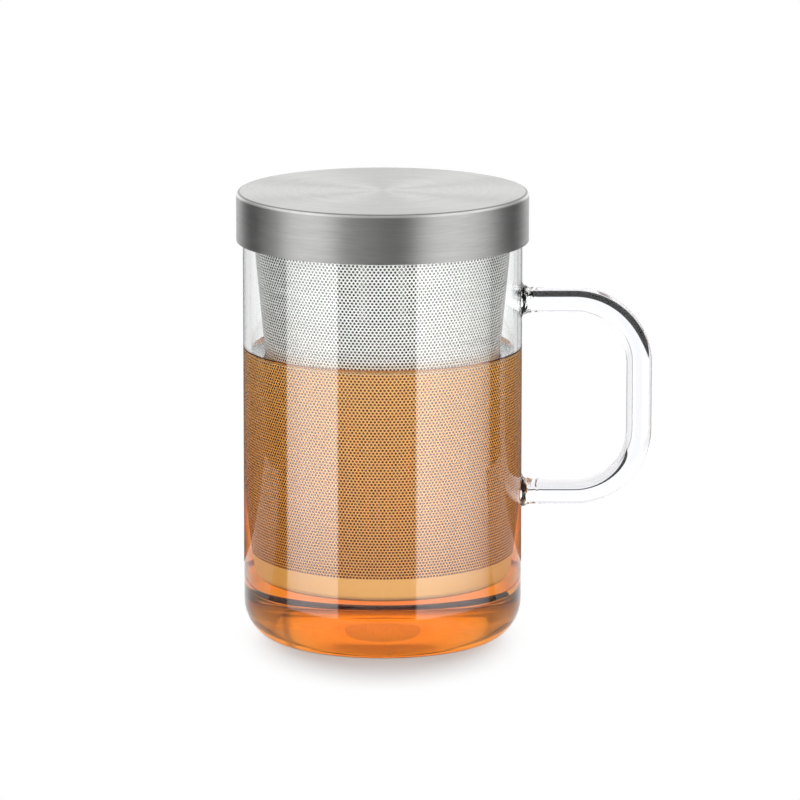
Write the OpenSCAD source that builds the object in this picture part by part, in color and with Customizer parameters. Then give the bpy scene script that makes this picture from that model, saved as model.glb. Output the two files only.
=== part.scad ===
// Glass tea mug with a hanging steel infuser and a lift-off steel lid.
// All sizes are in millimetres. Z is up, and the origin is the centre of the
// mug's base on the table. The handle points along +X.

/* [Mug] */
// Outside diameter of the glass
mug_d = 84; // [76:1:96]
// Height of the glass lip above the table
mug_h = 134; // [120:1:150]
// Thickness of the glass wall
glass_t = 2.2; // [1.8:0.1:3]
// Thickness of the glass base between its rise and its rounded edge
base_t = 3.6; // [2.6:0.2:6]
// Width of the rounded outside edge of the base
base_edge_w = 11; // [7:0.5:14]
// Height of the rounded outside edge of the base
base_edge_h = 14; // [8:0.5:20]
// Radius of the inside corner between wall and floor
floor_corner_r = 14; // [10:0.5:16]
// Radius of the fire-polished edges of the lip
lip_r = 0.8; // [0.4:0.1:0.85]
// Diameter of the low rise in the middle of the glass floor
rise_d = 35; // [16:1:44]
// Height of the low rise in the middle of the glass floor
rise_h = 0.8; // [0.4:0.1:2]

/* [Handle] */
// Diameter of the bent glass rod
rod_d = 7.6; // [6:0.2:10]
// Distance from the glass lip down to the upper bar's centre line
handle_drop = 30.8; // [24:0.2:40]
// Distance between the centre lines of the upper and the lower bar
handle_h = 58.9; // [50:0.1:80]
// Distance from the glass wall to the centre line of the upright
handle_reach = 35.4; // [30:0.5:42]
// Bend radius of the rod's centre line
handle_bend_r = 19.5; // [12:0.5:24]
// Diameter of the rod's flared foot where it is fused to the wall
weld_d = 11.4; // [10.6:0.2:14]
// Length of the flared foot
weld_l = 4; // [2:0.5:6]

/* [Infuser] */
// Gap between the infuser's collar and the inside of the glass
mouth_gap = 0.9; // [0.5:0.1:4]
// Outside diameter of the basket at the bottom
basket_low_d = 57.4; // [50:0.2:64]
// Gap between the basket's bottom and the rise of the glass floor
under_gap = 12.8; // [3:0.2:25]
// Thickness of the basket's steel sheet
sheet_t = 0.4; // [0.3:0.05:0.8]
// Height of the plain rim of the pressed bottom pan
pan_h = 7; // [5:0.5:12]
// Outside radius of the pan's pressed corner
pan_corner_r = 2; // [1:0.25:3]
// Height of the plain steel collar inside the mug's mouth
collar_h = 9; // [6:0.5:12]
// Thickness of the steel collar
collar_t = 0.8; // [0.6:0.1:1.2]
// Thickness of the flange that hangs on the glass lip
flange_t = 1; // [0.8:0.1:1.6]
// Width by which the flange stands out past the glass
flange_over = 0.6; // [0.2:0.1:1]

/* [Perforations] */
// Diameter of one perforation
hole_d = 2; // [1:0.1:2.4]
// Number of columns of perforations around the basket's wall
strip_n = 56; // [40:4:60]
// Distance between neighbouring perforations in one column
row_pitch = 3.8; // [3.2:0.1:6]
// Distance between neighbouring perforations in the pan's floor
floor_pitch = 4; // [3.4:0.1:8]
// Plain margin between the perforations and the edge of their sheet
plain_edge = 1.2; // [0.6:0.1:3]

/* [Lid] */
// Gap between the inside of the lid's cap and the infuser's flange
lid_gap = 0.5; // [0.3:0.1:3]
// Height of the lid's cap from its lower edge to its flat top
lid_h = 15; // [10:0.5:22]
// Thickness of the cap's brushed steel
cap_t = 0.9; // [0.6:0.1:1.2]
// Radius of the cap's upper edge
cap_edge_r = 1.3; // [1:0.1:2.5]
// Thickness of the liner plate inside the cap
liner_t = 0.6; // [0.4:0.1:1]
// Depth of the liner's dish inside the infuser's mouth
dish_h = 3; // [2:0.5:6]
// Gap between the liner's dish and the infuser's collar
dish_gap = 0.6; // [0.4:0.1:1.5]

/* [Hidden] */
$fn = 96;

// Length by which a cutting shape runs past the face that it cuts
cut_past = 1;
// Number of straight steps in a quarter of a rounded profile
arc_steps = 12;

mug_r = mug_d / 2;
inner_r = mug_r - glass_t;

// Heights of the handle's two bars, hung from the glass lip
handle_top_z = mug_h - handle_drop;
handle_low_z = handle_top_z - handle_h;

// Infuser heights and radii, from the glass lip, wall and floor that it fits
pan_z = base_t + rise_h + under_gap;
wall_z = pan_z + pan_h;
collar_z = mug_h - collar_h;
flange_top_z = mug_h + flange_t;
collar_r = inner_r - mouth_gap;
flange_r = mug_r + flange_over;
basket_slope = (collar_r - basket_low_d / 2) / (collar_z - pan_z);

// Lid heights and radii, all stacked on and around the infuser's flange
cap_under_z = flange_top_z + liner_t;
cap_top_z = cap_under_z + cap_t;
cap_low_z = cap_top_z - lid_h;
cap_inner_r = flange_r + lid_gap;
cap_r = cap_inner_r + cap_t;
dish_r = collar_r - collar_t - dish_gap;

// Outside radius of the basket at height z
function basket_r(z) = basket_low_d / 2 + basket_slope * (z - pan_z);

// Points of a quarter ellipse about [cx, cz], from angle a0 to a1 in degrees
function arc(cx, cz, rx, rz, a0, a1) =
    [for (i = [0:arc_steps])
        let (a = a0 + (a1 - a0) * i / arc_steps)
        [cx + rx * cos(a), cz + rz * sin(a)]];

// The blown glass vessel, whose wall turns into the base by a wide rounded edge
module mug_body() {
    outside = concat(
        [[0, 0]],
        arc(mug_r - base_edge_w, base_edge_h, base_edge_w, base_edge_h, -90, 0),
        arc(mug_r - lip_r, mug_h - lip_r, lip_r, lip_r, 0, 90));
    inside = concat(
        arc(inner_r + lip_r, mug_h - lip_r, lip_r, lip_r, 90, 180),
        arc(inner_r - floor_corner_r, base_t + floor_corner_r, floor_corner_r, floor_corner_r, 0, -90));
    rise = [for (i = [arc_steps:-1:0])
        [rise_d / 2 * i / arc_steps, base_t + rise_h * (1 + cos(180 * i / arc_steps)) / 2]];
    color([0.86, 0.93, 0.94, 0.45])
        rotate_extrude()
            polygon(concat(outside, inside, rise));
}

// Flared foot of the handle rod, along +X from the axis of the mug
module rod_foot() {
    flare = (weld_d - rod_d) / 2;
    neck = [for (i = [0:arc_steps])
        let (a = 90 * i / arc_steps)
        [weld_d / 2 - flare * sin(a), mug_r + weld_l - weld_l * cos(a)]];
    rotate([0, 90, 0])
        rotate_extrude()
            polygon(concat([[0, mug_r - glass_t], [weld_d / 2, mug_r - glass_t]], neck, [[0, mug_r + weld_l]]));
}

// One quarter bend of the rod in the XZ plane, about the origin
module rod_bend(turn) {
    rotate([90, turn, 0])
        rotate_extrude(angle = 90)
            translate([handle_bend_r, 0])
                circle(d = rod_d);
}

// The clear glass rod, bent to a D and fused to the wall at both feet
module handle() {
    upright_x = mug_r + handle_reach;
    bend_x = upright_x - handle_bend_r;
    bar_l = bend_x - mug_r - weld_l;
    color([0.86, 0.93, 0.94, 0.45])
        difference() {
            union() {
                for (z = [handle_low_z, handle_top_z]) {
                    translate([0, 0, z])
                        rod_foot();
                    translate([mug_r + weld_l, 0, z])
                        rotate([0, 90, 0])
                            cylinder(d = rod_d, h = bar_l);
                }
                translate([bend_x, 0, handle_top_z - handle_bend_r])
                    rod_bend(0);
                translate([bend_x, 0, handle_low_z + handle_bend_r])
                    rod_bend(90);
                translate([upright_x, 0, handle_low_z + handle_bend_r])
                    cylinder(d = rod_d, h = handle_top_z - handle_low_z - 2 * handle_bend_r);
            }
            cylinder(r = mug_r, h = mug_h);
        }
}

// One flat strip of the basket's wall, outer face at the origin's height, with
// its own column of round perforations. Every second column sits half a row up.
module wall_strip(index) {
    half_turn = 180 / strip_n;
    lean = atan(basket_slope);
    slant = (collar_z - wall_z - sheet_t * sin(lean)) / cos(lean);
    low_w = 2 * basket_r(wall_z) * tan(half_turn);
    high_w = 2 * basket_r(collar_z) * tan(half_turn);
    first_hole = plain_edge + hole_d / 2 + (index % 2) * row_pitch / 2;
    holes = floor((slant - 2 * plain_edge - hole_d - row_pitch / 2) / row_pitch);
    rotate([0, 0, index * 2 * half_turn])
        translate([basket_r(wall_z), 0, wall_z])
            rotate([90, 0, 90])
                rotate([lean, 0, 0])
                    translate([0, 0, -sheet_t])
                        linear_extrude(sheet_t)
                            difference() {
                                polygon([[-low_w / 2, 0], [low_w / 2, 0], [high_w / 2, slant], [-high_w / 2, slant]]);
                                for (i = [0:holes]) {
                                    translate([0, first_hole + i * row_pitch])
                                        circle(d = hole_d, $fn = 24);
                                }
                            }
}

// The rolled and perforated cone of the infuser
module infuser_wall() {
    color([0.74, 0.73, 0.70])
        for (index = [0:strip_n - 1]) {
            wall_strip(index);
        }
}

// The pressed pan that closes the infuser, with its perforated floor
module infuser_pan() {
    corner_x = basket_r(pan_z) - pan_corner_r;
    floor_r = corner_x - plain_edge - hole_d / 2;
    rings = floor(floor_r / floor_pitch);
    color([0.76, 0.75, 0.72])
        difference() {
            rotate_extrude()
                polygon(concat(
                    [[0, pan_z]],
                    arc(corner_x, pan_z + pan_corner_r, pan_corner_r, pan_corner_r, -90, 0),
                    [[basket_r(wall_z), wall_z], [basket_r(wall_z) - sheet_t, wall_z]],
                    arc(corner_x, pan_z + pan_corner_r, pan_corner_r - sheet_t, pan_corner_r - sheet_t, 0, -90),
                    [[0, pan_z + sheet_t]]));
            for (ring = [0:rings]) {
                per_ring = max(1, 6 * ring);
                for (i = [0:per_ring - 1]) {
                    rotate([0, 0, i * 360 / per_ring])
                        translate([ring * floor_r / rings, 0, pan_z - cut_past])
                            cylinder(d = hole_d, h = sheet_t + 2 * cut_past, $fn = 16);
                }
            }
        }
}

// The turned collar and flange by which the infuser hangs on the glass lip
module infuser_collar() {
    color([0.78, 0.78, 0.77])
        rotate_extrude()
            polygon(concat(
                [[collar_r - collar_t, collar_z], [collar_r, collar_z], [collar_r, mug_h]],
                arc(flange_r - flange_t / 2, mug_h + flange_t / 2, flange_t / 2, flange_t / 2, -90, 90),
                [[collar_r - collar_t, flange_top_z]]));
}

// The brushed steel cap that reaches down over the mug's mouth
module lid_cap() {
    inner_edge_r = cap_edge_r - cap_t;
    color([0.72, 0.72, 0.72])
        rotate_extrude()
            polygon(concat(
                [[0, cap_under_z], [cap_inner_r - inner_edge_r, cap_under_z]],
                arc(cap_inner_r - inner_edge_r, cap_under_z - inner_edge_r, inner_edge_r, inner_edge_r, 90, 0),
                [[cap_inner_r, cap_low_z], [cap_r, cap_low_z]],
                arc(cap_r - cap_edge_r, cap_top_z - cap_edge_r, cap_edge_r, cap_edge_r, 0, 90),
                [[0, cap_top_z]]));
}

// The pressed liner that seats on the flange and dips into the infuser's mouth
module lid_liner() {
    seat_r = cap_inner_r - (cap_edge_r - cap_t);
    color([0.70, 0.70, 0.70])
        rotate_extrude()
            polygon([
                [0, flange_top_z - dish_h],
                [dish_r, flange_top_z - dish_h],
                [dish_r, flange_top_z],
                [seat_r, flange_top_z],
                [seat_r, cap_under_z],
                [dish_r - liner_t, cap_under_z],
                [dish_r - liner_t, flange_top_z - dish_h + liner_t],
                [0, flange_top_z - dish_h + liner_t]]);
}

mug_body();
handle();
infuser_wall();
infuser_pan();
infuser_collar();
lid_cap();
lid_liner();
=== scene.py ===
import math

import bmesh
import bpy
import numpy as np
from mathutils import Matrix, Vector
from mathutils.geometry import delaunay_2d_cdt


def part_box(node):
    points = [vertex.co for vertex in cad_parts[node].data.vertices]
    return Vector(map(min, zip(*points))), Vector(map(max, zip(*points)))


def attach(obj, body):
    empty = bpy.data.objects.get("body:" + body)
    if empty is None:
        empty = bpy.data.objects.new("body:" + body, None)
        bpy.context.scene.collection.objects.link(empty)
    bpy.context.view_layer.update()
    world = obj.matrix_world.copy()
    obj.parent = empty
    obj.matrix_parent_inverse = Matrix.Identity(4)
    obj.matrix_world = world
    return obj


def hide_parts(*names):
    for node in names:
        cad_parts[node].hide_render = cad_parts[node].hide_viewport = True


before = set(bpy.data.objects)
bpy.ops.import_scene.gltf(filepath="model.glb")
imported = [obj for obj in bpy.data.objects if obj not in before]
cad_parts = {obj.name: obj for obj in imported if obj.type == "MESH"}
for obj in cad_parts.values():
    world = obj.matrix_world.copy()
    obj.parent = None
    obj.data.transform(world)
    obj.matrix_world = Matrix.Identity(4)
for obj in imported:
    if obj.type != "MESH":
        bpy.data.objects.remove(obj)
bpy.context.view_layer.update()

MM = 0.001

# Faces that meet at more than this many degrees get a sharp edge
SHARP_ANGLE = 35
# A profile point nearer the axis than this is one vertex
ON_AXIS_R = 1e-9
# Settings of the flat triangulation: keep what lies inside the outline, and merge points this close
INSIDE_OUTLINE = 1
MERGE_DISTANCE = 1e-7

# Sizes that the frame gives
MUG_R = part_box("mug_body")[1].x
MUG_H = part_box("mug_body")[1].z
WELD_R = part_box("handle")[1].y
COLLAR_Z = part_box("infuser_wall")[1].z
PAN_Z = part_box("infuser_pan")[0].z
WALL_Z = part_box("infuser_pan")[1].z
FLANGE_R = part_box("infuser_collar")[1].x
FLANGE_TOP_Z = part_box("infuser_collar")[1].z
CAP_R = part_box("lid_cap")[1].x
CAP_LOW_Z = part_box("lid_cap")[0].z
CAP_TOP_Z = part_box("lid_cap")[1].z
LINER_LOW_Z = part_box("lid_liner")[0].z
LINER_TOP_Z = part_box("lid_liner")[1].z
HANDLE_FAR_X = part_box("handle")[1].x
HANDLE_LOW_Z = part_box("handle")[0].z
HANDLE_HIGH_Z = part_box("handle")[1].z

# Glass
GLASS_T = 2.2 * MM
BASE_T = 3.6 * MM
BASE_EDGE_W = 10.5 * MM
BASE_EDGE_H = 12 * MM
FLOOR_CORNER_R = 14 * MM
LIP_R = 0.8 * MM
RISE_R = 20 * MM
RISE_H = 1.5 * MM
INNER_R = MUG_R - GLASS_T
BEND_R = 19.5 * MM
ROD_R = 3.8 * MM
ROD_START_IN_WALL = 0.6
WELD_L = 5 * MM
# Depth of the weld's ripples as a share of the radius, their reach in weld lengths, and radians per metre
WELD_RIPPLE = 0.14
RIPPLE_REACH = 1.3
RIPPLE_WAVES = (2600, 4100)
GLASS_TURNS = 288
ROD_SIDES = 64
ROD_STEPS = 40
UPRIGHT_STEPS = 16
RISE_STEPS = 12
WALL_STEPS = 100
FUSED_SHARP_ANGLE = 50
# Distances from the wall over which the handle's glass takes on a painted grey shade
ROD_SHADE_START = 2 * MM
ROD_SHADE_END = 6 * MM

# Tea
TEA_Z = 87.8 * MM
MENISCUS_H = 1.6 * MM
MENISCUS_W = 1.5 * MM
MENISCUS_FALLS = 3
MENISCUS_STEPS = 14
TEA_IN_GLASS = 0.08 * MM

# Infuser
SHEET_T = 0.4 * MM
BASKET_LOW_R = 28.7 * MM
PAN_CORNER_R = 2 * MM
COLLAR_R = INNER_R - 0.9 * MM
COLLAR_T = 0.8 * MM
FLANGE_T = 1 * MM
COLLAR_EDGE_R = 0.3 * MM
HOLE_R = 0.4 * MM
HOLE_IN_R = 0.15 * MM
# A hole has six sides, one for each point round its cell of the wall
HOLE_SIDES = 6
HOLE_FIRST_ANGLE = 210
HOLES_ROUND = 196
ROWS_PER_BAND = 23
BANDS = 5
FLOOR_PITCH = 1.25 * MM
FLOOR_INSET = 0.5 * MM
FLOOR_PLAIN_EDGE = 0.9 * MM

# Lid
CAP_T = 0.9 * MM
CAP_EDGE_R = 1.3 * MM
CAP_RIM_R = 0.3 * MM
LINER_T = 0.6 * MM
DISH_EDGE_R = 0.5 * MM
DISH_R = COLLAR_R - COLLAR_T - 0.6 * MM

# Camera, with the photograph's frame taken as 800 by 800
FRAME_PX = 800
PX_PER_M = 3310
CAMERA_DISTANCE = 2.0
CAMERA_ELEVATION = 11.4
AXIS_PX = (382.6, 413.4)
SENSOR_MM = 36

# Levels of light: the two low strips that the glass mirrors, and overhead in front and behind
STRIP_LEVEL = 7.8
TOP_FRONT_LEVEL = 0.42
TOP_REAR_LEVEL = 1.95

# Stage: where the floor starts and ends its fade to white, and how white it is at the start
FLOOR_FADE_START = 26 * MM
FLOOR_FADE_END = 46 * MM
FLOOR_FADE_LEAST = 0.38
FLOOR_DEPTH_SCALE = 0.6
FLOOR_DROP = 0.05 * MM


def arc(cx, cz, rx, rz, a0, a1, steps):
    """Points of an elliptic arc about (cx, cz), from a0 to a1 degrees."""
    angles = np.radians(np.linspace(a0, a1, steps + 1))
    return [(cx + rx * math.cos(a), cz + rz * math.sin(a)) for a in angles]


def line(start, end, steps):
    """Points between two profile points, without either end."""
    return [
        (start[0] + (end[0] - start[0]) * i / steps, start[1] + (end[1] - start[1]) * i / steps)
        for i in range(1, steps)
    ]


def lathe(profile, turns):
    """Vertices and faces of a closed profile of (radius, height) turned about Z."""
    verts, rings = [], []
    for r, z in profile:
        if r < ON_AXIS_R:
            rings.append([len(verts)] * turns)
            verts.append((0.0, 0.0, z))
            continue
        first = len(verts)
        rings.append(list(range(first, first + turns)))
        for k in range(turns):
            a = 2 * math.pi * k / turns
            verts.append((r * math.cos(a), r * math.sin(a), z))
    faces = []
    for low, high in zip(rings, rings[1:] + rings[:1]):
        if low[0] == low[-1] and high[0] == high[-1]:
            continue
        for k in range(turns):
            n = (k + 1) % turns
            loop = [low[k], low[n], high[n], high[k]]
            faces.append(tuple(dict.fromkeys(loop)))
    return verts, faces


def mesh_object(name, verts, faces, sharp_angle=SHARP_ANGLE):
    """A smooth-shaded object with sharp edges where faces meet at more than an angle."""
    mesh = bpy.data.meshes.new(name)
    mesh.from_pydata(verts, [], faces)
    return finish_mesh(name, mesh, sharp_angle)


def finish_mesh(name, mesh, sharp_angle):
    """Links a mesh as an object with outward faces and smooth shading."""
    mesh.validate()
    work = bmesh.new()
    work.from_mesh(mesh)
    bmesh.ops.recalc_face_normals(work, faces=work.faces)
    work.to_mesh(mesh)
    work.free()
    mesh.shade_smooth()
    mesh.set_sharp_from_angle(angle=math.radians(sharp_angle))
    made = bpy.data.objects.new(name, mesh)
    bpy.context.scene.collection.objects.link(made)
    return made


def dress(piece, body, slot, material, *nodes):
    """Says what a piece rides on and paints it, and hides the frame's parts that it stands for. slot is not
    used.
    """
    piece.data.materials.clear()
    piece.data.materials.append(material)
    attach(piece, body)
    if nodes:
        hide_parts(*nodes)


class Graph:
    """A short way to add shader nodes to one node tree and link them."""

    def __init__(self, tree):
        self.tree = tree
        tree.nodes.clear()

    def add(self, kind, inputs=None, **settings):
        """One node, with inputs given as values or as sockets to link from."""
        node = self.tree.nodes.new("ShaderNode" + kind)
        for key, value in settings.items():
            setattr(node, key, value)
        for key, value in (inputs or {}).items():
            if isinstance(value, bpy.types.NodeSocket):
                self.tree.links.new(value, node.inputs[key])
            else:
                node.inputs[key].default_value = value
        return node

    def math(self, operation, a, b=0.0):
        """The result of one Math node."""
        return self.add("Math", {0: a, 1: b}, operation=operation).outputs[0]

    def vector(self, operation, a, b=(0, 0, 0)):
        """The vector result of one Vector Math node."""
        return self.add("VectorMath", {0: a, 1: b}, operation=operation).outputs[0]

    def length(self, a):
        """The length of a vector."""
        return self.add("VectorMath", {0: a}, operation="LENGTH").outputs["Value"]

    def part(self, vector, axis):
        """One of the X, Y and Z parts of a vector."""
        return self.add("SeparateXYZ", {0: vector}).outputs[axis]

    def map_range(self, value, low, high, out_low=0.0, out_high=1.0, curve="LINEAR"):
        """A value mapped from low to high onto out_low to out_high, and held there past the ends."""
        inputs = {0: value, 1: low, 2: high, 3: out_low, 4: out_high}
        return self.add("MapRange", inputs, interpolation_type=curve).outputs[0]

    def ramp(self, factor, stops):
        """A colour ramp of (position, level) stops."""
        node = self.add("ValToRGB", {"Fac": factor})
        elements = node.color_ramp.elements
        while len(elements) < len(stops):
            elements.new(0.5)
        for element, (position, level) in zip(elements, stops):
            element.position = position
            element.color = (level, level, level, 1)
        return node.outputs["Color"]

    def mix(self, factor, first, second):
        """A blend of two colours, each a tuple or a socket."""
        node = self.add("Mix", {0: factor}, data_type="RGBA")
        # A Mix node has hidden inputs of each data type, so its colours are set by place
        for place, color in ((6, first), (7, second)):
            if isinstance(color, bpy.types.NodeSocket):
                self.tree.links.new(color, node.inputs[place])
            else:
                node.inputs[place].default_value = tuple(color) + (1,)
        return node.outputs[2]

    def end(self, kind, **sockets):
        """The output node and what goes into it."""
        self.add(kind, sockets)


def material(name):
    """A new material and the graph of its nodes."""
    made = bpy.data.materials.new(name)
    made.use_nodes = True
    return made, Graph(made.node_tree)


def place_of(g):
    """The place of a point in the frame, at rest."""
    return g.add("TexCoord").outputs["Object"]


def turned_coordinates(g, along, across):
    """Coordinates that change slowly round the Z axis and fast across it, for turned brushing."""
    xyz = g.add("SeparateXYZ", {0: place_of(g)})
    flat = g.add("CombineXYZ", {0: xyz.outputs[0], 1: xyz.outputs[1]}).outputs[0]
    radius = g.length(flat)
    xy = g.add("SeparateXYZ", {0: g.vector("NORMALIZE", flat)})
    x = g.math("MULTIPLY", xy.outputs[0], along)
    y = g.math("MULTIPLY", xy.outputs[1], along)
    depth = g.math("MULTIPLY", g.math("ADD", radius, xyz.outputs[2]), across)
    return g.add("CombineXYZ", {0: x, 1: y, 2: depth}).outputs[0]


def brushed_grain(g, along, across):
    """Turned brushing, as fine lines over wider ones."""
    place = turned_coordinates(g, along, across)
    fine = g.add("TexNoise", {"Vector": place, "Scale": 1, "Detail": 3, "Roughness": 0.6}).outputs["Fac"]
    wide = g.add("TexNoise", {"Vector": place, "Scale": 0.17, "Detail": 2, "Roughness": 0.5}).outputs["Fac"]
    return g.math("ADD", g.math("MULTIPLY", fine, 0.6), g.math("MULTIPLY", wide, 0.4))


def basket_painted_shade(g, tint, dark, near, far, middle_z, tea_shade_color):
    """Colour and metalness of the basket, with painted shade: a tea-coloured painted shade below the tea line
    for light tinted by the tea, a painted shade on faces that look down, and a dark, dull painted shade on
    the inside faces.

    Which way is out is told from the axis, or from the point middle_z on it. near and far are where a face
    passes from inside to outside, by how far it looks outward.
    """
    place = place_of(g)
    above_tea_line = g.map_range(g.part(place, "Z"), TEA_Z - MM, TEA_Z)
    if middle_z is None:
        outward = g.vector("MULTIPLY", place, (1, 1, 0))
    else:
        outward = g.vector("SUBTRACT", place, (0, 0, middle_z))
    outward = g.vector("NORMALIZE", outward)
    face = g.add("NewGeometry").outputs["True Normal"]
    faces_out = g.add("VectorMath", {0: outward, 1: face}, operation="DOT_PRODUCT").outputs["Value"]
    out = g.map_range(faces_out, near, far)
    # Painted shade on the inside faces, browner below the tea line
    inside_shade_in_tea = tuple(dark * share for share in (1.6, 0.4, 0.02))
    inside_shade_above_tea = tuple(dark * share for share in (0.5, 0.5, 0.47))
    inside_shade = g.mix(above_tea_line, inside_shade_in_tea, inside_shade_above_tea)
    # Painted tea-coloured shade below the tea line
    tint = g.mix(above_tea_line, tea_shade_color, tint)
    # Painted shade on faces that look down
    down = g.map_range(g.part(face, "Z"), -0.6, -0.95)
    under = g.vector("MULTIPLY", tint, (0.4, 0.25, 0.15))
    return g.mix(out, inside_shade, g.mix(down, tint, under)), out


def brushed_steel(name, color, roughness, anisotropy, along, across, bump, basket=None, rim=None):
    """Stainless steel with fine turned brushing about the Z axis.

    rim gives the levels of the painted highlight and painted dark line on a rounded edge, by the height part
    of the face's normal. basket gives the settings of the basket's painted shade.
    """
    made, g = material(name)
    grain = brushed_grain(g, along, across)
    streak = g.map_range(grain, 0.3, 0.7, 0.1, 0.9)
    tint = g.mix(streak, tuple(0.8 * c for c in color), tuple(min(1, 1.15 * c) for c in color))
    metal = 1.0
    # Painted highlight and painted dark line on the rounded edge
    if rim:
        level = g.ramp(g.part(g.add("NewGeometry").outputs["Normal"], "Z"), rim)
        tint = g.vector("MULTIPLY", tint, level)
    if basket:
        tint, metal = basket_painted_shade(g, tint, **basket)
    rough = g.math("ADD", g.math("MULTIPLY", grain, 0.12), roughness - 0.06)
    bumped = g.add("Bump", {"Strength": bump, "Distance": 0.05 * MM, "Height": grain})
    tangent = g.add("Tangent", direction_type="RADIAL", axis="Z")
    shader = g.add(
        "BsdfPrincipled",
        {
            "Base Color": tint,
            "Metallic": metal,
            "Specular IOR Level": 0.0,
            "Roughness": rough,
            "Anisotropic": anisotropy,
            "Anisotropic Rotation": 0.25,
            "Normal": bumped.outputs[0],
            "Tangent": tangent.outputs[0],
        },
    )
    g.end("OutputMaterial", Surface=shader.outputs[0])
    return made


def clear_for_lamps(g, shader, tint):
    """The shader, but clear to shadow rays, so that light goes through it."""
    path = g.add("LightPath")
    clear = g.add("BsdfTransparent", {"Color": tuple(tint) + (1,)})
    mix = g.add("MixShader", {0: path.outputs["Is Shadow Ray"], 1: shader.outputs[0], 2: clear.outputs[0]})
    return mix.outputs[0]


def clear_glass():
    """Polished borosilicate glass, with a painted grey shade in the handle that the vessel doesn't have."""
    made, g = material("clear_glass")
    # Painted grey shade in the handle's glass, by distance from the wall
    rod_shade = g.map_range(g.part(place_of(g), "X"), MUG_R + ROD_SHADE_START, MUG_R + ROD_SHADE_END)
    shader = g.add(
        "BsdfPrincipled",
        {
            "Base Color": g.mix(rod_shade, (0.985, 0.995, 0.99), (0.9, 0.905, 0.935)),
            "Roughness": 0.0,
            "IOR": 1.47,
            "Transmission Weight": 1.0,
        },
    )
    g.end("OutputMaterial", Surface=clear_for_lamps(g, shader, (0.96, 0.96, 0.96)))
    return made


def brewed_tea():
    """Clear amber tea, which takes up green and blue light on the way through."""
    made, g = material("brewed_tea")
    shader = g.add(
        "BsdfPrincipled",
        {"Base Color": (1, 0.8, 0.72, 1), "Roughness": 0.0, "IOR": 1.33, "Transmission Weight": 1.0},
    )
    volume = g.add("VolumeAbsorption", {"Color": (1.0, 0.755, 0.05, 1), "Density": 74.0})
    g.end("OutputMaterial", Surface=clear_for_lamps(g, shader, (1, 0.85, 0.74)), Volume=volume.outputs[0])
    return made


def floor_rise(floor_z):
    """The low rise of the mug's floor, from the centre outward."""
    points = []
    for i in range(RISE_STEPS + 1):
        height = RISE_H * (1 + math.cos(math.pi * i / RISE_STEPS)) / 2
        points.append((RISE_R * i / RISE_STEPS, floor_z + height))
    return points


def add_mug():
    """The vessel and its handle as one fused glass piece."""
    wall_low = (MUG_R, BASE_EDGE_H)
    wall_high = (MUG_R, MUG_H - LIP_R)
    inner_high = (INNER_R, MUG_H - LIP_R)
    inner_low = (INNER_R, BASE_T + FLOOR_CORNER_R)
    corner_x, corner_z = INNER_R - FLOOR_CORNER_R, BASE_T + FLOOR_CORNER_R
    underside_r = MUG_R - 1.5 * BASE_EDGE_W
    profile = (
        [(0, 0), (underside_r, 0)]
        + arc(MUG_R - BASE_EDGE_W, BASE_EDGE_H, BASE_EDGE_W, BASE_EDGE_H, -90, 0, 32)
        + line(wall_low, wall_high, WALL_STEPS)
        + arc(MUG_R - LIP_R, MUG_H - LIP_R, LIP_R, LIP_R, 0, 90, 8)
        + arc(INNER_R + LIP_R, MUG_H - LIP_R, LIP_R, LIP_R, 90, 180, 8)
        + line(inner_high, inner_low, WALL_STEPS)
        + arc(corner_x, corner_z, FLOOR_CORNER_R, FLOOR_CORNER_R, 0, -90, 24)
        + line((corner_x, BASE_T), (RISE_R, BASE_T), 8)
        + floor_rise(BASE_T)[::-1]
    )
    vessel = mesh_object("mug_glass", *lathe(profile, GLASS_TURNS))
    rod = add_rod()
    union = vessel.modifiers.new("fuse", "BOOLEAN")
    union.operation = "UNION"
    union.solver = "EXACT"
    union.object = rod
    evaluated = vessel.evaluated_get(bpy.context.evaluated_depsgraph_get())
    fused = bpy.data.meshes.new_from_object(evaluated)
    vessel.modifiers.clear()
    vessel.data = fused
    bpy.data.objects.remove(rod)
    fused.shade_smooth()
    fused.set_sharp_from_angle(angle=math.radians(FUSED_SHARP_ANGLE))
    return vessel


def rod_route():
    """Centre line points (x, z) of the handle, from the upper weld to the lower one."""
    low, high = HANDLE_LOW_Z + WELD_R, HANDLE_HIGH_Z - WELD_R
    upright_x = HANDLE_FAR_X - ROD_R
    bend_x = upright_x - BEND_R
    start_x = MUG_R - ROD_START_IN_WALL * GLASS_T
    points = [(x, high) for x in np.linspace(start_x, bend_x, ROD_STEPS)[:-1]]
    points += arc(bend_x, high - BEND_R, BEND_R, BEND_R, 90, 0, ROD_STEPS)
    points += [(upright_x, z) for z in np.linspace(high - BEND_R, low + BEND_R, UPRIGHT_STEPS)[1:-1]]
    points += arc(bend_x, low + BEND_R, BEND_R, BEND_R, 0, -90, ROD_STEPS)
    points += [(x, low) for x in np.linspace(bend_x, start_x, ROD_STEPS)[1:]]
    return np.array(points)


def rod_radius(x):
    """Radius of the rod at a distance from the axis: it flares where it meets the wall."""
    out = min(max((x - MUG_R) / WELD_L, 0.0), 1.0)
    return WELD_R - (WELD_R - ROD_R) * math.sqrt(1 - (1 - out) ** 2)


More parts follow.
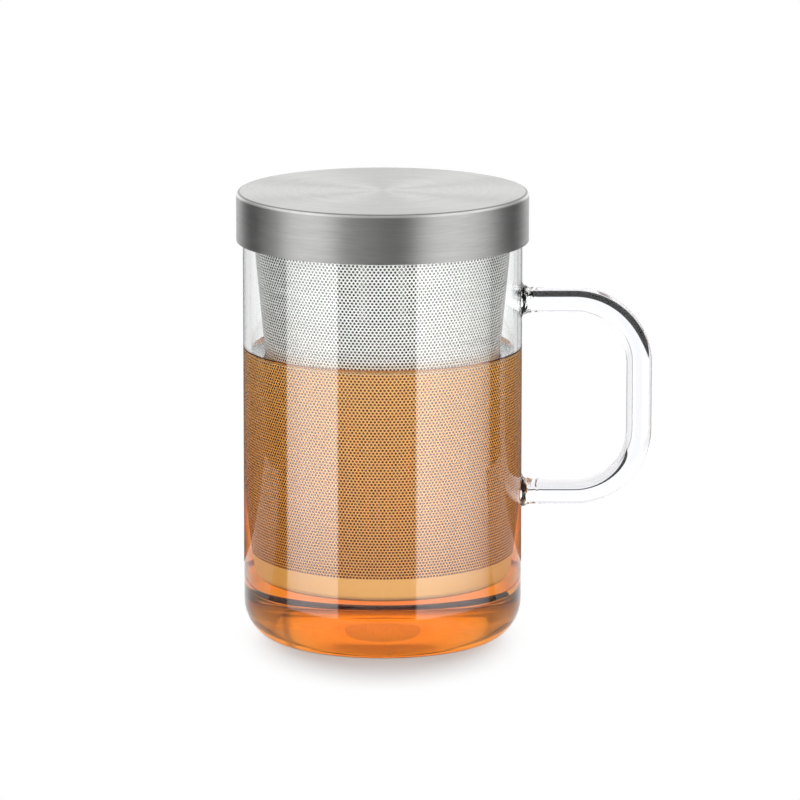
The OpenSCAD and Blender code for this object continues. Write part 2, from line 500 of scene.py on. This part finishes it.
def add_rod():
    """The bent rod as a closed tube, its ends inside the wall."""
    route = rod_route()
    step = np.gradient(route, axis=0)
    step /= np.linalg.norm(step, axis=1)[:, None]
    verts, faces = [], []
    count = len(route)
    for (x, z), (dx, dz) in zip(route, step):
        near_weld = min(max(1 - (x - MUG_R) / (RIPPLE_REACH * WELD_L), 0.0), 1.0)
        for k in range(ROD_SIDES):
            a = 2 * math.pi * k / ROD_SIDES
            ripple = math.sin(3 * a + RIPPLE_WAVES[0] * x) + math.sin(7 * a - RIPPLE_WAVES[1] * x)
            radius = rod_radius(x) * (1 - WELD_RIPPLE * near_weld * (2 + ripple) / 4)
            side = radius * math.cos(a)
            verts.append((x - dz * side, radius * math.sin(a), z + dx * side))
    for i in range(count - 1):
        for k in range(ROD_SIDES):
            n = (k + 1) % ROD_SIDES
            a, b = i * ROD_SIDES, (i + 1) * ROD_SIDES
            faces.append((a + k, a + n, b + n, b + k))
    faces.append(tuple(range(ROD_SIDES)))
    faces.append(tuple(range((count - 1) * ROD_SIDES, count * ROD_SIDES)))
    return mesh_object("rod", verts, faces)


def add_tea():
    """The tea, which reaches a hair into the glass and climbs its wall a little."""
    outer = INNER_R + TEA_IN_GLASS
    corner = FLOOR_CORNER_R + TEA_IN_GLASS
    meniscus = []
    for i in range(MENISCUS_STEPS + 1):
        r = INNER_R - MENISCUS_W * MENISCUS_FALLS * i / MENISCUS_STEPS
        climb = MENISCUS_H * math.exp(-MENISCUS_FALLS * i / MENISCUS_STEPS)
        meniscus.append((r, TEA_Z + climb - MENISCUS_H * math.exp(-MENISCUS_FALLS)))
    profile = (
        floor_rise(BASE_T - TEA_IN_GLASS)
        + arc(INNER_R - FLOOR_CORNER_R, BASE_T + FLOOR_CORNER_R, corner, corner, -90, 0, 24)
        + [(outer, meniscus[0][1])]
        + meniscus
        + [(0, TEA_Z)]
    )
    return mesh_object("tea", *lathe(profile, GLASS_TURNS))


def basket_r(z):
    """Outside radius of the basket at a height."""
    return BASKET_LOW_R + (COLLAR_R - BASKET_LOW_R) * (z - PAN_Z) / (COLLAR_Z - PAN_Z)


def wall_band(index):
    """One band of the perforated wall: rows of tapered round holes, every second row half a pitch on."""
    rows = ROWS_PER_BAND
    row_h = (COLLAR_Z - WALL_Z) / (BANDS * rows)
    low_row = index * rows
    half_cell = math.pi / HOLES_ROUND
    halves = 2 * HOLES_ROUND

    def place(angle, z, inward):
        r = basket_r(z) - inward
        return np.stack([r * np.cos(angle), r * np.sin(angle), np.broadcast_to(z, np.shape(r))], -1)

    verts, quads, count = [], [], 0
    edges, rims = [], []
    for inward in (0.0, SHEET_T):
        z = WALL_Z + (low_row + np.arange(rows + 1)) * row_h
        z, angle = np.meshgrid(z, np.arange(halves) * half_cell, indexing="ij")
        edges.append(count + np.arange((rows + 1) * halves).reshape(rows + 1, halves))
        verts.append(place(angle, z, inward).reshape(-1, 3))
        count += verts[-1].shape[0]
        shape = (rows, HOLES_ROUND, HOLE_SIDES)
        row, column, corner = np.indices(shape)
        turn = np.radians(HOLE_FIRST_ANGLE + 360 / HOLE_SIDES * corner)
        radius = HOLE_IN_R if inward else HOLE_R
        z = WALL_Z + (low_row + row + 0.5) * row_h + radius * np.sin(turn)
        angle = (2 * column + 1 + (low_row + row) % 2) * half_cell + radius * np.cos(turn) / basket_r(z)
        rims.append(count + np.arange(math.prod(shape)).reshape(shape))
        verts.append(place(angle, z, inward).reshape(-1, 3))
        count += verts[-1].shape[0]
    row, column = np.indices((rows, HOLES_ROUND))
    left = 2 * column + (low_row + row) % 2
    around = [(0, 0), (0, 1), (0, 2), (1, 2), (1, 1), (1, 0)]
    for edge, rim, flip in ((edges[0], rims[0], False), (edges[1], rims[1], True)):
        cell = [edge[row + up, (left + right) % halves] for up, right in around]
        for i in range(HOLE_SIDES):
            n = (i + 1) % HOLE_SIDES
            quad = np.stack([cell[i], cell[n], rim[:, :, n], rim[:, :, i]], -1).reshape(-1, 4)
            quads.append(quad[:, ::-1] if flip else quad)
    outer_rim, inner_rim = rims
    for i in range(HOLE_SIDES):
        n = (i + 1) % HOLE_SIDES
        quad = [outer_rim[:, :, i], outer_rim[:, :, n], inner_rim[:, :, n], inner_rim[:, :, i]]
        quads.append(np.stack(quad, -1).reshape(-1, 4))
    here = np.arange(halves)
    there = (here + 1) % halves
    for level, flip in ((0, True), (rows, False)):
        outer, inner = edges[0][level], edges[1][level]
        quad = np.stack([outer[here], outer[there], inner[there], inner[here]], -1)
        quads.append(quad[:, ::-1] if flip else quad)
    return np.concatenate(verts), np.concatenate(quads)


def array_object(name, verts, quads, sharp_angle=SHARP_ANGLE):
    """An object from arrays of vertices and quads."""
    mesh = bpy.data.meshes.new(name)
    mesh.vertices.add(len(verts))
    mesh.vertices.foreach_set("co", verts.astype(np.float32).ravel())
    mesh.loops.add(quads.size)
    mesh.loops.foreach_set("vertex_index", quads.astype(np.int32).ravel())
    mesh.polygons.add(len(quads))
    mesh.polygons.foreach_set("loop_start", np.arange(0, quads.size, 4, dtype=np.int32))
    mesh.update(calc_edges=True)
    return finish_mesh(name, mesh, sharp_angle)


def floor_holes(limit):
    """Centres of the pan floor's holes, in staggered rows out to a radius."""
    centres = []
    reach = int(limit / FLOOR_PITCH) + 2
    for i in range(-reach, reach + 1):
        for j in range(-reach, reach + 1):
            x = FLOOR_PITCH * (i + 0.5 * (j % 2))
            y = FLOOR_PITCH * j * math.sqrt(0.75)
            if math.hypot(x, y) < limit:
                centres.append((x, y))
    return centres


def add_pan():
    """The pressed pan under the wall: a plain side, a rounded corner and a finely perforated floor."""
    turns = HOLES_ROUND
    corner_x = BASKET_LOW_R - PAN_CORNER_R
    corner_z = PAN_Z + PAN_CORNER_R
    inner_corner_r = PAN_CORNER_R - SHEET_T
    floor_r = corner_x - FLOOR_INSET
    outer = [(floor_r, PAN_Z)] + arc(corner_x, corner_z, PAN_CORNER_R, PAN_CORNER_R, -90, 0, 10)
    outer += line(outer[-1], (basket_r(WALL_Z), WALL_Z), 4) + [(basket_r(WALL_Z), WALL_Z)]
    inner = [(basket_r(WALL_Z) - SHEET_T, WALL_Z)]
    inner += arc(corner_x, corner_z, inner_corner_r, inner_corner_r, 0, -90, 10)
    inner += [(floor_r, PAN_Z + SHEET_T)]
    profile = outer + inner
    angle = 2 * np.pi * np.arange(turns) / turns
    verts = [(r * math.cos(a), r * math.sin(a), z) for r, z in profile for a in angle]
    faces = []
    for i in range(len(profile) - 1):
        for k in range(turns):
            n = (k + 1) % turns
            faces.append((i * turns + k, i * turns + n, (i + 1) * turns + n, (i + 1) * turns + k))

    ring = [Vector((floor_r * math.cos(a), floor_r * math.sin(a))) for a in angle]
    centres = floor_holes(floor_r - FLOOR_PLAIN_EDGE)
    flat = list(ring)
    edges = [(k, (k + 1) % turns) for k in range(turns)]
    for x, y in centres:
        first = len(flat)
        for k in range(HOLE_SIDES):
            a = math.radians(360 / HOLE_SIDES * k)
            flat.append(Vector((x + HOLE_R * math.cos(a), y + HOLE_R * math.sin(a))))
        edges += [(first + k, first + (k + 1) % HOLE_SIDES) for k in range(HOLE_SIDES)]
    points, _, triangles, _, _, _ = delaunay_2d_cdt(flat, edges, [], INSIDE_OUTLINE, MERGE_DISTANCE)
    hole_of = [(v - turns) // HOLE_SIDES if v >= turns else -1 for v in range(len(flat))]
    low = len(verts)
    verts += [(p.x, p.y, PAN_Z) for p in points[turns:]]
    high = len(verts)
    verts += [(p.x, p.y, PAN_Z + SHEET_T) for p in points[turns:]]
    last = (len(profile) - 1) * turns

    def at(v, side):
        if v < turns:
            return v + (last if side else 0)
        return v - turns + (high if side else low)

    for tri in triangles:
        holes = {hole_of[v] for v in tri}
        if len(holes) == 1 and -1 not in holes:
            continue
        faces.append(tuple(at(v, 0) for v in reversed(tri)))
        faces.append(tuple(at(v, 1) for v in tri))
    for h in range(len(centres)):
        first = turns + HOLE_SIDES * h
        for k in range(HOLE_SIDES):
            a, b = first + k, first + (k + 1) % HOLE_SIDES
            faces.append((at(a, 0), at(b, 0), at(b, 1), at(a, 1)))
    return mesh_object("infuser_pan_fine", verts, faces)


def add_collar():
    """The turned collar and its rolled flange."""
    round_r = FLANGE_T / 2
    inner_r = COLLAR_R - COLLAR_T
    profile = (
        [(inner_r, COLLAR_Z), (COLLAR_R, COLLAR_Z), (COLLAR_R, MUG_H)]
        + arc(FLANGE_R - round_r, MUG_H + round_r, round_r, round_r, -90, 90, 16)
        + arc(inner_r + COLLAR_EDGE_R, FLANGE_TOP_Z - COLLAR_EDGE_R, COLLAR_EDGE_R, COLLAR_EDGE_R, 90, 180, 6)
    )
    return mesh_object("infuser_collar_fine", *lathe(profile, GLASS_TURNS))


def add_cap():
    """The brushed cap, with a rounded upper edge and a softened rim."""
    inner_r = CAP_R - CAP_T
    inner_edge_r = CAP_EDGE_R - CAP_T
    under_z = CAP_TOP_Z - CAP_T
    profile = (
        [(0, under_z)]
        + arc(inner_r - inner_edge_r, under_z - inner_edge_r, inner_edge_r, inner_edge_r, 90, 0, 6)
        + arc(inner_r + CAP_RIM_R, CAP_LOW_Z + CAP_RIM_R, CAP_RIM_R, CAP_RIM_R, 180, 270, 5)
        + arc(CAP_R - CAP_RIM_R, CAP_LOW_Z + CAP_RIM_R, CAP_RIM_R, CAP_RIM_R, -90, 0, 5)
        + arc(CAP_R - CAP_EDGE_R, CAP_TOP_Z - CAP_EDGE_R, CAP_EDGE_R, CAP_EDGE_R, 0, 90, 16)
        + line((CAP_R - CAP_EDGE_R, CAP_TOP_Z), (0, CAP_TOP_Z), 12)
        + [(0, CAP_TOP_Z)]
    )
    return mesh_object("lid_cap_fine", *lathe(profile, GLASS_TURNS))


def add_liner():
    """The pressed liner plate with its dish."""
    seat_r = CAP_R - CAP_T - (CAP_EDGE_R - CAP_T)
    dish_in_r = DISH_R - LINER_T
    profile = (
        [(0, LINER_LOW_Z)]
        + arc(DISH_R - DISH_EDGE_R, LINER_LOW_Z + DISH_EDGE_R, DISH_EDGE_R, DISH_EDGE_R, -90, 0, 6)
        + [(DISH_R, FLANGE_TOP_Z), (seat_r, FLANGE_TOP_Z), (seat_r, LINER_TOP_Z), (dish_in_r, LINER_TOP_Z)]
        + [(dish_in_r, LINER_LOW_Z + LINER_T), (0, LINER_LOW_Z + LINER_T)]
    )
    return mesh_object("lid_liner_fine", *lathe(profile, GLASS_TURNS))


def add_floor():
    """A pale floor that fades to white away from the object, sooner beside it than in front.

    Beside the mug, rays that come through the glass meet a painted dark band on it, a painted shade that the
    glass shows in the base.
    """
    front_r, back_x, back_y = 0.1, 0.3, 0.1
    edge = arc(0, 0, front_r, front_r, -180, 0, 32)
    edge += [(back_x, 0), (back_x, back_y), (-back_x, back_y), (-back_x, 0)]
    made = mesh_object("floor", [(x, y, -FLOOR_DROP) for x, y in edge], [tuple(range(len(edge)))])
    painted, g = material("pale_floor")
    away = g.length(g.vector("MULTIPLY", place_of(g), (1, FLOOR_DEPTH_SCALE, 0)))
    fade = g.map_range(away, FLOOR_FADE_START, FLOOR_FADE_END, FLOOR_FADE_LEAST, curve="SMOOTHSTEP")
    path = g.add("LightPath")
    seen = g.math("MULTIPLY", fade, path.outputs["Is Camera Ray"])
    # The band's stops are in tenths of a metre from the plane through the axis
    aside = g.math("MULTIPLY", g.math("ABSOLUTE", g.part(place_of(g), "X")), 10.0)
    band = g.ramp(aside, [(0.28, 0.0), (0.36, 1.0), (0.41, 1.0), (0.44, 0.0)])
    # Painted shade: only rays through the glass see the dark band
    refracted = g.vector("MULTIPLY", band, path.outputs["Is Transmission Ray"])
    color = g.mix(refracted, (0.95, 0.95, 0.955), (0.14, 0.04, 0.05))
    pale = g.add("BsdfPrincipled", {"Base Color": color, "Roughness": 0.3, "Specular IOR Level": 0.3})
    white = g.add("Emission", {"Color": (1, 1, 1, 1), "Strength": 1.0})
    mix = g.add("MixShader", {0: seen, 1: pale.outputs[0], 2: white.outputs[0]})
    g.end("OutputMaterial", Surface=mix.outputs[0])
    made.data.materials.append(painted)
    return made


def add_flag():
    """A dark card behind the object, sloping away, which only refracted light meets."""
    near, far, end = (0.1, 0.014), (0.6, -0.106), (0.8, -0.154)
    left_x, right_x = (-0.05, -0.4, -0.4), 0.13
    verts = [(x, y, z) for (y, z), left in zip((near, far, end), left_x) for x in (left, right_x)]
    made = mesh_object("dark_flag", verts, [(0, 1, 3, 2), (2, 3, 5, 4)])
    painted, g = material("flag_cloth")
    level = g.map_range(g.part(place_of(g), "Y"), far[0], end[0])
    shine = g.add("Emission", {"Strength": level})
    g.end("OutputMaterial", Surface=shine.outputs[0])
    made.data.materials.append(painted)
    made.visible_camera = False
    made.visible_glossy = False
    made.visible_diffuse = False
    made.visible_shadow = False
    return made


def round_ramp(g, turn, stops, scale=1.0):
    """A ramp by azimuth: stops are degrees from the camera's side, positive towards the handle."""
    return g.ramp(turn, [(azimuth / 360 + 0.5, scale * level) for azimuth, level in stops])


def add_studio():
    """The world: white to the camera, soft boxes to reflections, and its own levels to refracted rays."""
    sides = [
        (-180, 1.4), (-148, 1.4), (-140, 0.05), (-130, 0.05), (-114, 0.08), (-97, 0.25),
        (-80, 0.45), (-66, 0.6), (-52, 0.75), (-39, 0.72), (-27, 0.55), (-11, 0.5),
        (9, 0.12), (25, 0.22), (38, 0.62), (54, 0.84), (68, 0.6), (82, 0.36),
        (99, 0.1), (113, 0.1), (130, 0.05), (140, 0.05), (148, 1.4), (180, 1.4),
    ]
    left_strip = [(-86.5, 0), (-85.5, 0.66), (-68, 1), (-38, 1), (-37, 0)]
    right_strip = [
        (27.5, 0), (28.5, 1), (42, 1), (58, 0.92), (73, 0.85), (89, 0.55), (99.5, 0.25), (100.5, 0),
    ]
    beyond_sides = [
        (-180, 1), (-158, 1), (-148, 0.9), (-124, 0.9), (-112, 0.5), (-98, 0.4), (-60, 0.95),
        (-30, 1.5), (0, 1.5), (30, 1.5), (60, 1.0), (98, 0.4), (112, 0.5), (124, 0.9),
        (148, 0.9), (154, 0.95), (155, 0.4), (157, 0.4), (158, 1), (180, 1),
    ]
    # Stops by height: half the height part of the ray's direction, plus a half
    beyond_heights = [
        (0, 0.6), (0.02, 0.6), (0.04, 0.86), (0.3, 0.86), (0.36, 1.08), (0.46, 1.08),
        (0.5, 1.2), (0.53, 1.6), (0.7, 1.6), (0.76, 0.88), (0.9, 0.88), (0.93, 0.6),
    ]
    strip_heights = [
        (0.34, 0.0), (0.36, 0.4), (0.386, 0.4), (0.3885, 0.65), (0.3925, 1.0), (0.44, 1.0), (0.46, 0.0),
    ]
    # What the mug's wall mirrors is kept low, apart from the strips
    wall_heights = [(0.35, 1.0), (0.375, 0.1), (0.42, 0.1), (0.44, 1.0)]
    top_heights = [(0.0, 1.0), (0.12, 1.0), (0.22, 0.0), (0.72, 0.0), (0.82, 1.0), (1.0, 1.0)]

    world = bpy.data.worlds.new("studio")
    bpy.context.scene.world = world
    world.use_nodes = True
    g = Graph(world.node_tree)
    way = g.add("SeparateXYZ", {0: g.add("TexCoord").outputs["Generated"]})
    turn = g.math("ARCTAN2", way.outputs[0], g.math("MULTIPLY", way.outputs[1], -1.0))
    turn = g.math("ADD", g.math("DIVIDE", turn, 2 * math.pi), 0.5)
    high = g.math("ADD", g.math("MULTIPLY", way.outputs[2], 0.5), 0.5)
    around = g.vector("MULTIPLY", round_ramp(g, turn, sides), g.ramp(high, wall_heights))
    strips = round_ramp(g, turn, left_strip + right_strip, STRIP_LEVEL)
    shone = g.vector("MULTIPLY", strips, g.ramp(high, strip_heights))
    behind = g.map_range(way.outputs[1], -0.2, 0.3)
    top = g.mix(behind, (TOP_FRONT_LEVEL,) * 3, (TOP_REAR_LEVEL,) * 3)
    light = g.vector("ADD", g.mix(g.ramp(high, top_heights), around, top), shone)
    beyond = g.vector("MULTIPLY", round_ramp(g, turn, beyond_sides), g.ramp(high, beyond_heights))
    path = g.add("LightPath")
    shown = g.mix(path.outputs["Is Transmission Ray"], light, beyond)
    shown = g.mix(path.outputs["Is Camera Ray"], shown, (1, 1, 1))
    back = g.add("Background", {"Color": shown, "Strength": 1.0})
    g.end("OutputWorld", Surface=back.outputs[0])


def add_camera():
    """A long lens at the photograph's angle and framing."""
    data = bpy.data.cameras.new("camera")
    data.sensor_width = SENSOR_MM
    data.lens = PX_PER_M * CAMERA_DISTANCE * data.sensor_width / FRAME_PX
    data.shift_x = (FRAME_PX / 2 - AXIS_PX[0]) / FRAME_PX
    data.shift_y = (AXIS_PX[1] - FRAME_PX / 2) / FRAME_PX
    data.clip_start = 0.1
    data.clip_end = 20
    camera = bpy.data.objects.new("camera", data)
    bpy.context.scene.collection.objects.link(camera)
    tilt = math.radians(CAMERA_ELEVATION)
    back = Vector((0, -math.cos(tilt), math.sin(tilt)))
    camera.location = Vector((0, 0, CAP_TOP_Z / 2)) + back * CAMERA_DISTANCE
    camera.rotation_mode = "QUATERNION"
    camera.rotation_quaternion = (-back).to_track_quat("-Z", "Y")
    bpy.context.scene.camera = camera


# A painted highlight and a painted dark line on the lid's rounded edge, by the height part of the face's
# normal
lid_edge_painted_lines = [(0.16, 1.0), (0.34, 1.6), (0.68, 1.6), (0.78, 0.7), (0.84, 0.5), (0.97, 0.5), (0.995, 1.0)]
# Settings of the basket's painted shade on its inside faces and below the tea line
wall_shade_settings = dict(dark=0.05, near=0.5, far=0.9, middle_z=None, tea_shade_color=(0.98, 0.78, 0.4))
pan_shade_settings = dict(dark=0.1, near=-0.3, far=0.1, middle_z=PAN_Z + 12 * MM, tea_shade_color=(1.0, 1.0, 1.0))
satin = dict(roughness=0.65, anisotropy=0.1, along=6, across=2500, bump=0.1)

glass = clear_glass()
lid_steel = brushed_steel("lid_brushed_steel", (0.495, 0.494, 0.49), 0.5, 0.85, 6, 2300, 0.5, rim=lid_edge_painted_lines)
wall_steel = brushed_steel("wall_satin_steel", (0.89, 0.875, 0.85), basket=wall_shade_settings, **satin)
pan_steel = brushed_steel("pan_satin_steel", (0.93, 0.91, 0.86), basket=pan_shade_settings, **satin)
collar_steel = brushed_steel("collar_steel", (0.7, 0.69, 0.67), 0.35, 0.3, 4, 3000, 0.1)
liner_steel = brushed_steel("liner_pressed_steel", (0.66, 0.66, 0.65), 0.3, 0.3, 4, 3000, 0.1)

dress(add_mug(), "mug", "glass", glass, "mug_body", "handle")
dress(add_tea(), "mug", "glass", brewed_tea())
for index in range(BANDS):
    band = array_object("infuser_wall_%d" % (index + 1), *wall_band(index))
    dress(band, "infuser", "infuser_steel", wall_steel, "infuser_wall")
dress(add_pan(), "infuser", "infuser_steel", pan_steel, "infuser_pan")
dress(add_collar(), "infuser", "infuser_steel", collar_steel, "infuser_collar")
dress(add_cap(), "lid", "lid_steel", lid_steel, "lid_cap")
dress(add_liner(), "lid", "liner_steel", liner_steel, "lid_liner")
add_floor()
add_flag()
add_studio()
add_camera()

scene = bpy.context.scene
scene.view_settings.view_transform = "Standard"
